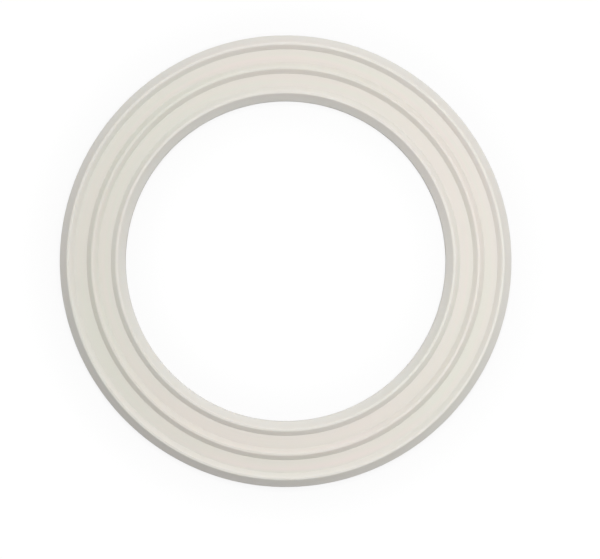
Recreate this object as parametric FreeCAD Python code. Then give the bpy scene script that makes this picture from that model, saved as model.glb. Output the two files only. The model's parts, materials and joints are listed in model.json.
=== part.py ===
import FreeCAD
import Part
import math
import os

# Flat ring seal, moulded in one piece from silicone.
# The upper face has ribs running round it, with flat lands between them. From the first and the last rib
# it bevels down to the walls of the rims. The underside is flat.
# Millimetres. The ring lies flat with its axis along +Z. The origin is the centre of the bore, at the level
# of the underside.

# Driving dimensions. Rib widths and the wall's height are measured between corners, before any rounding.
BORE_DIAMETER = 83.8
RIB_COUNT = 3
RIB_PITCH = 6.35
RIB_HEIGHT = 0.8
RIB_BASE_WIDTH = 3.0
RIB_CREST_WIDTH = 0.6
WEB_THICKNESS = 2.4
RIM_MARGIN = 2.3
RIM_WALL_HEIGHT = 1.4
CREST_EDGE_RADIUS = 0.4
RIM_EDGE_RADIUS = 0.4

# Sizes that follow from them
BORE_RADIUS = BORE_DIAMETER / 2
FIRST_RIB_RADIUS = BORE_RADIUS + RIM_MARGIN
LAST_RIB_RADIUS = FIRST_RIB_RADIUS + (RIB_COUNT - 1) * RIB_PITCH
OUTER_RADIUS = LAST_RIB_RADIUS + RIM_MARGIN
CREST_LEVEL = WEB_THICKNESS + RIB_HEIGHT

CENTRE = FreeCAD.Vector(0, 0, 0)
UP = FreeCAD.Vector(0, 0, 1)


def corner(radius, level, rounding=0):
    """A corner of the section, which lies in the XZ plane, and the radius that it is rounded to, if any."""
    return FreeCAD.Vector(radius, 0, level), rounding


def wall_corners(rim_radius):
    """The foot and the top of a rim's wall. The foot is a sharp edge, where the mould parts."""
    return [corner(rim_radius, 0), corner(rim_radius, RIM_WALL_HEIGHT, RIM_EDGE_RADIUS)]


def crest_corners(rib_radius):
    """The two edges of a rib's flat crest."""
    half = RIB_CREST_WIDTH / 2
    return [
        corner(rib_radius - half, CREST_LEVEL, CREST_EDGE_RADIUS),
        corner(rib_radius + half, CREST_LEVEL, CREST_EDGE_RADIUS),
    ]


def land_corners(rib_radius):
    """The two edges of the land between a rib and the next one out. They are sharp, as in a grooved mould."""
    half = RIB_BASE_WIDTH / 2
    return [
        corner(rib_radius + half, WEB_THICKNESS),
        corner(rib_radius + RIB_PITCH - half, WEB_THICKNESS),
    ]


def section_corners():
    """All corners in turn, from the foot of the bore's wall over the ribs to the foot of the outer wall."""
    corners = wall_corners(BORE_RADIUS)
    for index in range(RIB_COUNT):
        rib_radius = FIRST_RIB_RADIUS + index * RIB_PITCH
        corners += crest_corners(rib_radius)
        if index < RIB_COUNT - 1:
            corners += land_corners(rib_radius)
    corners += reversed(wall_corners(OUTER_RADIUS))
    return corners


def rounded(before, place, after, rounding):
    """Where a corner's rounding starts, is halfway and ends, between the corners before and after it."""
    to_before = (before - place).normalize()
    to_after = (after - place).normalize()
    half_angle = to_before.getAngle(to_after) / 2
    inward = (to_before + to_after).normalize()
    start = place + to_before * (rounding / math.tan(half_angle))
    halfway = place + inward * (rounding / math.sin(half_angle) - rounding)
    end = place + to_after * (rounding / math.tan(half_angle))
    return start, halfway, end


def section():
    """The closed section: an arc at each rounded corner, and a straight line from each corner to the next."""
    corners = section_corners()
    roundings = []
    for index, (place, rounding) in enumerate(corners):
        before = corners[index - 1][0]
        after = corners[(index + 1) % len(corners)][0]
        roundings.append(rounded(before, place, after, rounding))
    edges = []
    for index, (start, halfway, end) in enumerate(roundings):
        if start != end:
            edges.append(Part.Arc(start, halfway, end).toShape())
        next_start = roundings[(index + 1) % len(roundings)][0]
        edges.append(Part.LineSegment(end, next_start).toShape())
    return Part.Face(Part.Wire(edges))


def seal_ring():
    """The section turned once round the axis."""
    return section().revolve(CENTRE, UP, 360)


def main():
    os.makedirs("parts", exist_ok=True)
    ring = seal_ring()
    ring.exportStep("parts/seal_ring.step")
    box = ring.optimalBoundingBox()
    print("seal_ring valid", ring.isValid(), "volume mm3", round(ring.Volume, 1))
    print("outer diameter", round(box.XLength, 3), "thickness", round(box.ZLength, 3))


main()
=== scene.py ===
import bpy
import json
import math
from mathutils import Matrix, Vector


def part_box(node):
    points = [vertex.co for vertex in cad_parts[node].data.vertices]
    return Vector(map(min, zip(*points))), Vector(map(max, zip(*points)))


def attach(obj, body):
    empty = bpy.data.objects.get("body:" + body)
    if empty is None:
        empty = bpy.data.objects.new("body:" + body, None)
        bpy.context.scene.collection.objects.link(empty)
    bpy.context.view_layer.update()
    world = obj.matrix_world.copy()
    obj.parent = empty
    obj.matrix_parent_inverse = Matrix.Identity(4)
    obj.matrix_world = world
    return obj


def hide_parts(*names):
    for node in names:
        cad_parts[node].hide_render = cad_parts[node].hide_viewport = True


# A flat silicone ring seal with ribs on its upper face. It lies on a white floor under soft studio
# light and is seen from straight above. Metres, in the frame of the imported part.

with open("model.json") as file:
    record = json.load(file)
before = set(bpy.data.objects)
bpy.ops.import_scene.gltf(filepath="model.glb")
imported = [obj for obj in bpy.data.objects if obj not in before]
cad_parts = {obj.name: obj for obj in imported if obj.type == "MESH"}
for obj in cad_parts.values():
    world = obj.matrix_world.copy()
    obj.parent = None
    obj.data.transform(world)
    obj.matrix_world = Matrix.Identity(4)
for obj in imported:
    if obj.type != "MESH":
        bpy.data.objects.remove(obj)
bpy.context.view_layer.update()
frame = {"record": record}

# The ring's section, as in the part's source. Widths are measured between corners, before any rounding.
RIB_COUNT = 3
RIB_PITCH = 0.00635
RIB_HEIGHT = 0.0008
RIB_BASE_WIDTH = 0.003
RIB_CREST_WIDTH = 0.0006
RIM_FALL = 0.0018
CREST_EDGE_RADIUS = 0.0004
RIM_EDGE_RADIUS = 0.0004

# What moulding leaves: soft roots beside the ribs, and a thin lip round the foot of each wall, where
# the mould parts
ROOT_RADIUS = 0.00015
LIP_WIDTH = 0.00005
LIP_HEIGHT = 0.00016
LIP_RADIUS = 0.00003

# How finely the mesh is divided. A narrow strip beside each rounding keeps flats flat under smooth
# shading.
TURN_STEPS = 360
ROUNDING_STEPS = 6
EDGE_STRIP = 0.00001

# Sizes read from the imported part
MOUNTS = {mount["name"]: mount for mount in frame["record"]["mounts"]}
BORE_RADIUS = MOUNTS["bore"]["dims"]["r_mm"] / 1000
OUTER_RADIUS = MOUNTS["outer_rim"]["dims"]["r_mm"] / 1000
RING_LOW, RING_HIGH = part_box("seal_ring")
FOOT_LEVEL = RING_LOW.z
CREST_LEVEL = RING_HIGH.z
LAND_LEVEL = CREST_LEVEL - RIB_HEIGHT
RIM_LEVEL = CREST_LEVEL - RIM_FALL
RIM_MARGIN = (OUTER_RADIUS - BORE_RADIUS - (RIB_COUNT - 1) * RIB_PITCH) / 2
FIRST_RIB_RADIUS = BORE_RADIUS + RIM_MARGIN
LAST_RIB_RADIUS = OUTER_RADIUS - RIM_MARGIN

# The silicone's tones, in linear colour. Its milky ivory is mottled between a cool and a warm tone. It
# turns paler and more neutral towards the rims, which is painted light on their thin edges. Fine dust and
# painted shade grey it in the creases beside the ribs, and handling has rubbed the crests and the rims'
# upper edges pale and smooth.
COOL_TONE = (0.699, 0.692, 0.618, 1)
WARM_TONE = (0.747, 0.682, 0.635, 1)
PAINTED_RIM_LIGHT_TONE = (0.754, 0.736, 0.695, 1)
PAINTED_RIM_LIGHT_STRENGTH = 0.8
PAINTED_RIM_LIGHT_REACH = 0.005
DUST_AND_SHADE_TONE = (0.60, 0.58, 0.53, 1)
DUST_AND_SHADE_STRENGTH = 0.2
DUST_AND_SHADE_REACH = 0.0011
RUBBED_TONE = (0.78, 0.76, 0.71, 1)
RUB_STRENGTH = 0.35
RUB_REACH = 0.0004

# The silicone's skin: the mottling, marks that the turned mould leaves round the ring, and a fine
# grain. Scales are in features to the metre. The shift picks the part of the noise that is used. The
# drift is the radius of the small circle along which the marks' noise is read, once round the ring.
CLOUD_SCALE = 20.0
CLOUD_DETAIL = 6.0
CLOUD_SHIFT = (18.87, 0.0, 0.0)
MARK_SCALE = 700.0
MARK_DETAIL = 3.0
MARK_DEPTH = 0.00004
MARK_DRIFT = 0.0008
GRAIN_SCALE = 5000.0
GRAIN_DETAIL = 2.0
GRAIN_DEPTH = 0.000006
SMOOTH_ROUGHNESS = 0.44
DULL_ROUGHNESS = 0.54
RUBBED_ROUGHNESS = 0.36
REFRACTION = 1.41
SCATTER_SHARE = 0.15
SCATTER_DEPTH = 0.0008
SCATTER_RADII = (1.0, 0.85, 0.65)

# What most of a noise's values lie between
NOISE_LOW = 0.375
NOISE_HIGH = 0.625

# The photograph's frame, and where the ring lies in it
PHOTO_WIDTH = 600
PHOTO_HEIGHT = 559
RING_CENTRE_X = 285.6
RING_CENTRE_Y = 261.2
METRES_PER_PIXEL = 0.0254 / 97.0
CAMERA_HEIGHT = 0.8
SENSOR_WIDTH = 36.0

# Light. The three levels add up to 1 on a surface that faces up, so that a colour renders as it is
# written. Azimuths are anticlockwise from +X.
KEY_LEVEL = 0.43
KEY_AZIMUTH = math.radians(97)
KEY_ELEVATION = math.radians(54)
KEY_DISTANCE = 1.0
KEY_SIZE = 0.45
SOFTBOX_LEVEL = 0.36
SOFTBOX_AZIMUTH = math.radians(-14)
SOFTBOX_ELEVATION = math.radians(65)
SOFTBOX_DISTANCE = 0.36
SOFTBOX_SIZE = 0.27
SKY_LEVEL = 1 - KEY_LEVEL - SOFTBOX_LEVEL

# A sky that falls off with its height's sine lights a surface that faces up at two thirds of its zenith
ZENITH_LEVEL = SKY_LEVEL * 3 / 2

# The floor is seen as plain white, but beside the ring a share of its own shading keeps the ring's
# shadow. Its glow is a little over white, so that it stays plain.
WHITE = (1, 1, 1, 1)
FLOOR_RADIUS = 3.0
FLOOR_STEPS = 96
FLOOR_TONE = (0.6, 0.6, 0.6, 1)
FLOOR_GLOW = 1.03
FLOOR_WHITENESS = 0.86
SHADOW_REACH = 0.018


def corner(radius, level, rounding):
    """A corner of the section and the radius that it is rounded to."""
    return Vector((radius, level)), rounding


def wall_corners(rim_radius, into_body):
    """A rim's lip and its wall. The way into the ring's body is 1 at the bore and -1 at the outer rim."""
    wall_radius = rim_radius + into_body * LIP_WIDTH
    lip_level = FOOT_LEVEL + LIP_HEIGHT
    return [
        corner(rim_radius, FOOT_LEVEL, LIP_RADIUS),
        corner(rim_radius, lip_level, LIP_RADIUS),
        corner(wall_radius, lip_level + LIP_WIDTH, LIP_RADIUS),
        corner(wall_radius, RIM_LEVEL, RIM_EDGE_RADIUS),
    ]


def crest_corners(rib_radius):
    """The two edges of a rib's flat crest."""
    half = RIB_CREST_WIDTH / 2
    return [
        corner(rib_radius - half, CREST_LEVEL, CREST_EDGE_RADIUS),
        corner(rib_radius + half, CREST_LEVEL, CREST_EDGE_RADIUS),
    ]


def land_corners(rib_radius):
    """The two edges of the land between a rib and the next one out."""
    half = RIB_BASE_WIDTH / 2
    return [
        corner(rib_radius + half, LAND_LEVEL, ROOT_RADIUS),
        corner(rib_radius + RIB_PITCH - half, LAND_LEVEL, ROOT_RADIUS),
    ]


def section_corners():
    """All corners in turn, from the foot of the bore's wall over the ribs to that of the outer wall."""
    corners = wall_corners(BORE_RADIUS, 1)
    for index in range(RIB_COUNT):
        rib_radius = FIRST_RIB_RADIUS + index * RIB_PITCH
        corners += crest_corners(rib_radius)
        if index < RIB_COUNT - 1:
            corners += land_corners(rib_radius)
    corners += reversed(wall_corners(OUTER_RADIUS, -1))
    return corners


def rounded(before, place, after, rounding):
    """Points along a corner's rounding, between the corners before and after it."""
    to_before = (before - place).normalized()
    to_after = (after - place).normalized()
    half_angle = to_before.angle(to_after) / 2
    inward = (to_before + to_after).normalized()
    centre = place + inward * (rounding / math.sin(half_angle))
    spoke = place + to_before * (rounding / math.tan(half_angle)) - centre
    side = math.copysign(1, to_before.x * to_after.y - to_before.y * to_after.x)
    turn = -side * (math.pi - 2 * half_angle)
    points = []
    for step in range(ROUNDING_STEPS + 1):
        points.append(centre + Matrix.Rotation(turn * step / ROUNDING_STEPS, 2) @ spoke)
    return points


def ring_section():
    """The closed section: each corner's rounding, with a point just before and just after it."""
    corners = section_corners()
    points = []
    for index, (place, rounding) in enumerate(corners):
        before = corners[index - 1][0]
        after = corners[(index + 1) % len(corners)][0]
        arc = rounded(before, place, after, rounding)
        points.append(arc[0] + (before - place).normalized() * EDGE_STRIP)
        points += arc
        points.append(arc[-1] + (after - place).normalized() * EDGE_STRIP)
    return points


def make_ring():
    """The section turned round the axis, as one closed mesh of four-sided faces."""
    section = ring_section()
    count = len(section)
    vertices = []
    for step in range(TURN_STEPS):
        angle = 2 * math.pi * step / TURN_STEPS
        for point in section:
            vertices.append((point.x * math.cos(angle), point.x * math.sin(angle), point.y))
    faces = []
    for step in range(TURN_STEPS):
        here = step * count
        there = (step + 1) % TURN_STEPS * count
        for index in range(count):
            after = (index + 1) % count
            faces.append((here + index, there + index, there + after, here + after))
    mesh = bpy.data.meshes.new("moulded_ring")
    mesh.from_pydata(vertices, [], faces)
    mesh.shade_smooth()
    mesh.materials.append(silicone_material())
    ring = bpy.data.objects.new("moulded_ring", mesh)
    bpy.context.scene.collection.objects.link(ring)
    return ring


class Nodes:
    """Short calls for a material's or a world's node tree."""

    def __init__(self, owner):
        owner.use_nodes = True
        self.tree = owner.node_tree
        self.tree.nodes.clear()

    def add(self, kind, settings=None, **sockets):
        """A node of the kind. Each named socket takes a plain value or another node's output."""
        node = self.tree.nodes.new(kind)
        for name, value in (settings or {}).items():
            setattr(node, name, value)
        for name, value in sockets.items():
            self.feed(node.inputs[name.replace("_", " ")], value)
        return node

    def feed(self, socket, value):
        if isinstance(value, bpy.types.NodeSocket):
            self.tree.links.new(value, socket)
        else:
            socket.default_value = value

    def add_in_order(self, kind, values, **settings):
        """The outputs of a node of the kind, whose sockets take the values in turn."""
        node = self.add(kind, settings)
        for socket, value in zip(node.inputs, values):
            self.feed(socket, value)
        return node.outputs

    def math(self, operation, *values):
        return self.add_in_order("ShaderNodeMath", values, operation=operation)["Value"]

    def vector(self, operation, *values):
        return self.add_in_order("ShaderNodeVectorMath", values, operation=operation)["Vector"]

    def length(self, vector):
        return self.add_in_order("ShaderNodeVectorMath", [vector], operation="LENGTH")["Value"]

    def combine(self, **parts):
        return self.add("ShaderNodeCombineXYZ", **parts).outputs["Vector"]

    def mix(self, factor, first, second):
        node = self.add("ShaderNodeMix", {"data_type": "RGBA"}, Factor=factor, A=first, B=second)
        return node.outputs["Result"]

    def noise(self, vector, scale, detail):
        return self.add("ShaderNodeTexNoise", Vector=vector, Scale=scale, Detail=detail).outputs["Fac"]

    def spread(self, value, from_low, from_high, to_low, to_high):
        """The value held within its own range, which is carried over to another."""
        ends = {"From_Min": from_low, "From_Max": from_high, "To_Min": to_low, "To_Max": to_high}
        return self.add("ShaderNodeMapRange", Value=value, **ends).outputs["Result"]

    def spread_noises(self, first, second, low, high):
        """The sum of two noises, whose usual range is carried over to another."""
        return self.spread(self.math("ADD", first, second), 2 * NOISE_LOW, 2 * NOISE_HIGH, low, high)

    def seen_directly(self):
        """1 where the camera, a reflection or a view through glass meets the surface, 0 elsewhere."""
        rays = self.add("ShaderNodeLightPath").outputs
        mirrored = self.math("MAXIMUM", rays["Is Glossy Ray"], rays["Is Transmission Ray"])
        return self.math("MAXIMUM", rays["Is Camera Ray"], mirrored)


def rim_inset(nodes, radius):
    """How far a point is in from the nearest rim's wall."""
    from_bore = nodes.math("SUBTRACT", radius, BORE_RADIUS)
    from_outer = nodes.math("SUBTRACT", OUTER_RADIUS, radius)
    return nodes.math("MINIMUM", from_bore, from_outer)


def rubbed_share(nodes, radius, level):
    """1 along the rib crests and the rims' upper edges, falling to 0 within the rub's reach."""
    crest = nodes.spread(level, CREST_LEVEL - RUB_REACH, CREST_LEVEL, 0.0, 1.0)
    rise = nodes.math("SUBTRACT", level, RIM_LEVEL)
    from_edge = nodes.length(nodes.combine(X=rim_inset(nodes, radius), Y=rise))
    return nodes.math("MAXIMUM", crest, nodes.spread(from_edge, 0.0, RUB_REACH, 1.0, 0.0))


def dust_and_shade_share(nodes, radius, level):
    """1 at the foot of each rib's sides, falling to 0 within the reach of its dust and painted crease
    shade, and 0 on the bevels.
    """
    from_first = nodes.math("SUBTRACT", radius, FIRST_RIB_RADIUS)
    from_last = nodes.math("SUBTRACT", LAST_RIB_RADIUS, radius)
    on_lands = nodes.math("GREATER_THAN", nodes.math("MINIMUM", from_first, from_last), 0.0)
    from_rib = nodes.math("PINGPONG", from_first, RIB_PITCH / 2)
    across = nodes.math("SUBTRACT", from_rib, RIB_BASE_WIDTH / 2)
    rise = nodes.math("SUBTRACT", level, LAND_LEVEL)
    near = nodes.spread(nodes.length(nodes.combine(X=across, Y=rise)), 0.0, DUST_AND_SHADE_REACH, 1.0, 0.0)
    return nodes.math("MULTIPLY", near, on_lands)


def turned_marks(nodes, flat, radius, level):
    """Noise that changes fast along the section and slowly round the ring."""
    outward = nodes.vector("NORMALIZE", flat)
    wander = nodes.vector("MULTIPLY", outward, (MARK_DRIFT, MARK_DRIFT, 0))
    along_section = nodes.combine(X=level, Z=radius)
    return nodes.noise(nodes.vector("ADD", along_section, wander), MARK_SCALE, MARK_DETAIL)


def silicone_material():
    """Milky ivory silicone with a satin moulded skin."""
    material = bpy.data.materials.new("ivory_silicone")
    nodes = Nodes(material)
    place = nodes.add("ShaderNodeTexCoord").outputs["Object"]
    level = nodes.add("ShaderNodeSeparateXYZ", Vector=place).outputs["Z"]
    flat = nodes.vector("MULTIPLY", place, (1, 1, 0))
    radius = nodes.length(flat)

    cloud = nodes.noise(nodes.vector("ADD", place, CLOUD_SHIFT), CLOUD_SCALE, CLOUD_DETAIL)
    marks = turned_marks(nodes, flat, radius, level)
    grain = nodes.noise(place, GRAIN_SCALE, GRAIN_DETAIL)
    # Paler and more neutral towards the rims: painted light on the rims' thin edges.
    rim = nodes.spread(rim_inset(nodes, radius), 0.0, PAINTED_RIM_LIGHT_REACH, PAINTED_RIM_LIGHT_STRENGTH, 0.0)
    # Greyer at the foot of the ribs: dust, and painted shade in the creases there.
    dust_and_shade = nodes.math("MULTIPLY", dust_and_shade_share(nodes, radius, level), nodes.math("ADD", grain, marks))
    rubbed = nodes.math("MULTIPLY", rubbed_share(nodes, radius, level), marks)

    tone = nodes.mix(nodes.spread_noises(cloud, marks, 0.0, 1.0), COOL_TONE, WARM_TONE)
    tone = nodes.mix(rim, tone, PAINTED_RIM_LIGHT_TONE)
    tone = nodes.mix(nodes.math("MULTIPLY", dust_and_shade, DUST_AND_SHADE_STRENGTH), tone, DUST_AND_SHADE_TONE)
    tone = nodes.mix(nodes.math("MULTIPLY", rubbed, RUB_STRENGTH), tone, RUBBED_TONE)
    polish = nodes.math("MULTIPLY", rubbed, RUBBED_ROUGHNESS - DULL_ROUGHNESS)
    roughness = nodes.spread_noises(marks, grain, SMOOTH_ROUGHNESS, DULL_ROUGHNESS)
    marked = nodes.add("ShaderNodeBump", Strength=1.0, Distance=MARK_DEPTH, Height=marks)
    grained = nodes.add("ShaderNodeBump", Strength=1.0, Distance=GRAIN_DEPTH, Height=grain)
    nodes.feed(grained.inputs["Normal"], marked.outputs["Normal"])

    surface = nodes.add(
        "ShaderNodeBsdfPrincipled",
        {"subsurface_method": "RANDOM_WALK"},
        Base_Color=tone,
        Roughness=nodes.math("ADD", roughness, polish),
        Normal=grained.outputs["Normal"],
        IOR=REFRACTION,
        Subsurface_Weight=SCATTER_SHARE,
        Subsurface_Radius=SCATTER_RADII,
        Subsurface_Scale=SCATTER_DEPTH,
    )
    nodes.add("ShaderNodeOutputMaterial", Surface=surface.outputs["BSDF"])
    return material


def floor_material():
    """A matt pale sheet that turns to plain white away from the ring."""
    material = bpy.data.materials.new("pale_floor")
    nodes = Nodes(material)
    sheet = nodes.add("ShaderNodeBsdfDiffuse", Color=FLOOR_TONE).outputs["BSDF"]
    glow = nodes.add("ShaderNodeEmission", Color=WHITE, Strength=FLOOR_GLOW).outputs["Emission"]
    radius = nodes.length(nodes.add("ShaderNodeTexCoord").outputs["Object"])
    whiteness = nodes.spread(rim_inset(nodes, radius), -SHADOW_REACH, 0.0, 1.0, FLOOR_WHITENESS)
    share = nodes.math("MULTIPLY", nodes.seen_directly(), whiteness)
    mixed = nodes.add_in_order("ShaderNodeMixShader", [share, sheet, glow])
    nodes.add("ShaderNodeOutputMaterial", Surface=mixed["Shader"])
    return material


def make_floor():
    """A wide round sheet at the level of the ring's underside."""
    rim = []
    for step in range(FLOOR_STEPS):
        angle = 2 * math.pi * step / FLOOR_STEPS
        rim.append((FLOOR_RADIUS * math.cos(angle), FLOOR_RADIUS * math.sin(angle), 0))
    mesh = bpy.data.meshes.new("floor")
    mesh.from_pydata(rim, [], [tuple(range(FLOOR_STEPS))])
    mesh.materials.append(floor_material())
    floor = bpy.data.objects.new("floor", mesh)
    floor.location.z = FOOT_LEVEL
    bpy.context.scene.collection.objects.link(floor)


def make_world():
    """White sky light, strongest overhead and gone at the horizon. The sky is seen as plain white."""
    world = bpy.data.worlds.new("studio")
    nodes = Nodes(world)
    direction = nodes.add("ShaderNodeTexCoord").outputs["Generated"]
    height = nodes.add("ShaderNodeSeparateXYZ", Vector=direction).outputs["Z"]
    sky = nodes.math("MULTIPLY", nodes.math("MAXIMUM", height, 0.0), ZENITH_LEVEL)
    strength = nodes.math("MAXIMUM", sky, nodes.seen_directly())
    background = nodes.add("ShaderNodeBackground", Color=WHITE, Strength=strength)
    nodes.add("ShaderNodeOutputWorld", Surface=background.outputs["Background"])
    bpy.context.scene.world = world


def make_lamp(name, level, azimuth, elevation, distance, size):
    """A round soft lamp aimed at the ring. Level is its share of the light on a surface that faces up."""
    towards = Vector((
        math.cos(azimuth) * math.cos(elevation),
        math.sin(azimuth) * math.cos(elevation),
        math.sin(elevation),
    ))
    light = bpy.data.lights.new(name, "AREA")
    light.shape = "DISK"
    light.size = size
    # A disk of power P and radius r lights a white surface that faces it from a distance d to a level
    # of P / (pi^2 * (d^2 + r^2)). A surface that faces up gets the elevation's sine of that.
    light.energy = level * math.pi**2 * (distance**2 + (size / 2) ** 2) / math.sin(elevation)
    lamp = bpy.data.objects.new(name, light)
    lamp.location = towards * distance
    lamp.rotation_euler = towards.to_track_quat("Z", "Y").to_euler()
    lamp.visible_camera = False
    bpy.context.scene.collection.objects.link(lamp)


def make_camera():
    """Straight above, with the ring as far left of the picture's middle and above it as in the photo."""
    data = bpy.data.cameras.new("camera")
    data.sensor_width = SENSOR_WIDTH
    data.lens = SENSOR_WIDTH * (CAMERA_HEIGHT - RIM_LEVEL) / (PHOTO_WIDTH * METRES_PER_PIXEL)
    camera = bpy.data.objects.new("camera", data)
    right = (PHOTO_WIDTH / 2 - RING_CENTRE_X) * METRES_PER_PIXEL
    down = (PHOTO_HEIGHT / 2 - RING_CENTRE_Y) * METRES_PER_PIXEL
    camera.location = (right, -down, CAMERA_HEIGHT)
    bpy.context.scene.collection.objects.link(camera)
    bpy.context.scene.camera = camera


ring = make_ring()
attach(ring, "root")
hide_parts("seal_ring")

make_floor()
make_world()
make_lamp("key", KEY_LEVEL, KEY_AZIMUTH, KEY_ELEVATION, KEY_DISTANCE, KEY_SIZE)
make_lamp("softbox", SOFTBOX_LEVEL, SOFTBOX_AZIMUTH, SOFTBOX_ELEVATION, SOFTBOX_DISTANCE, SOFTBOX_SIZE)
make_camera()
bpy.context.scene.view_settings.view_transform = "Standard"
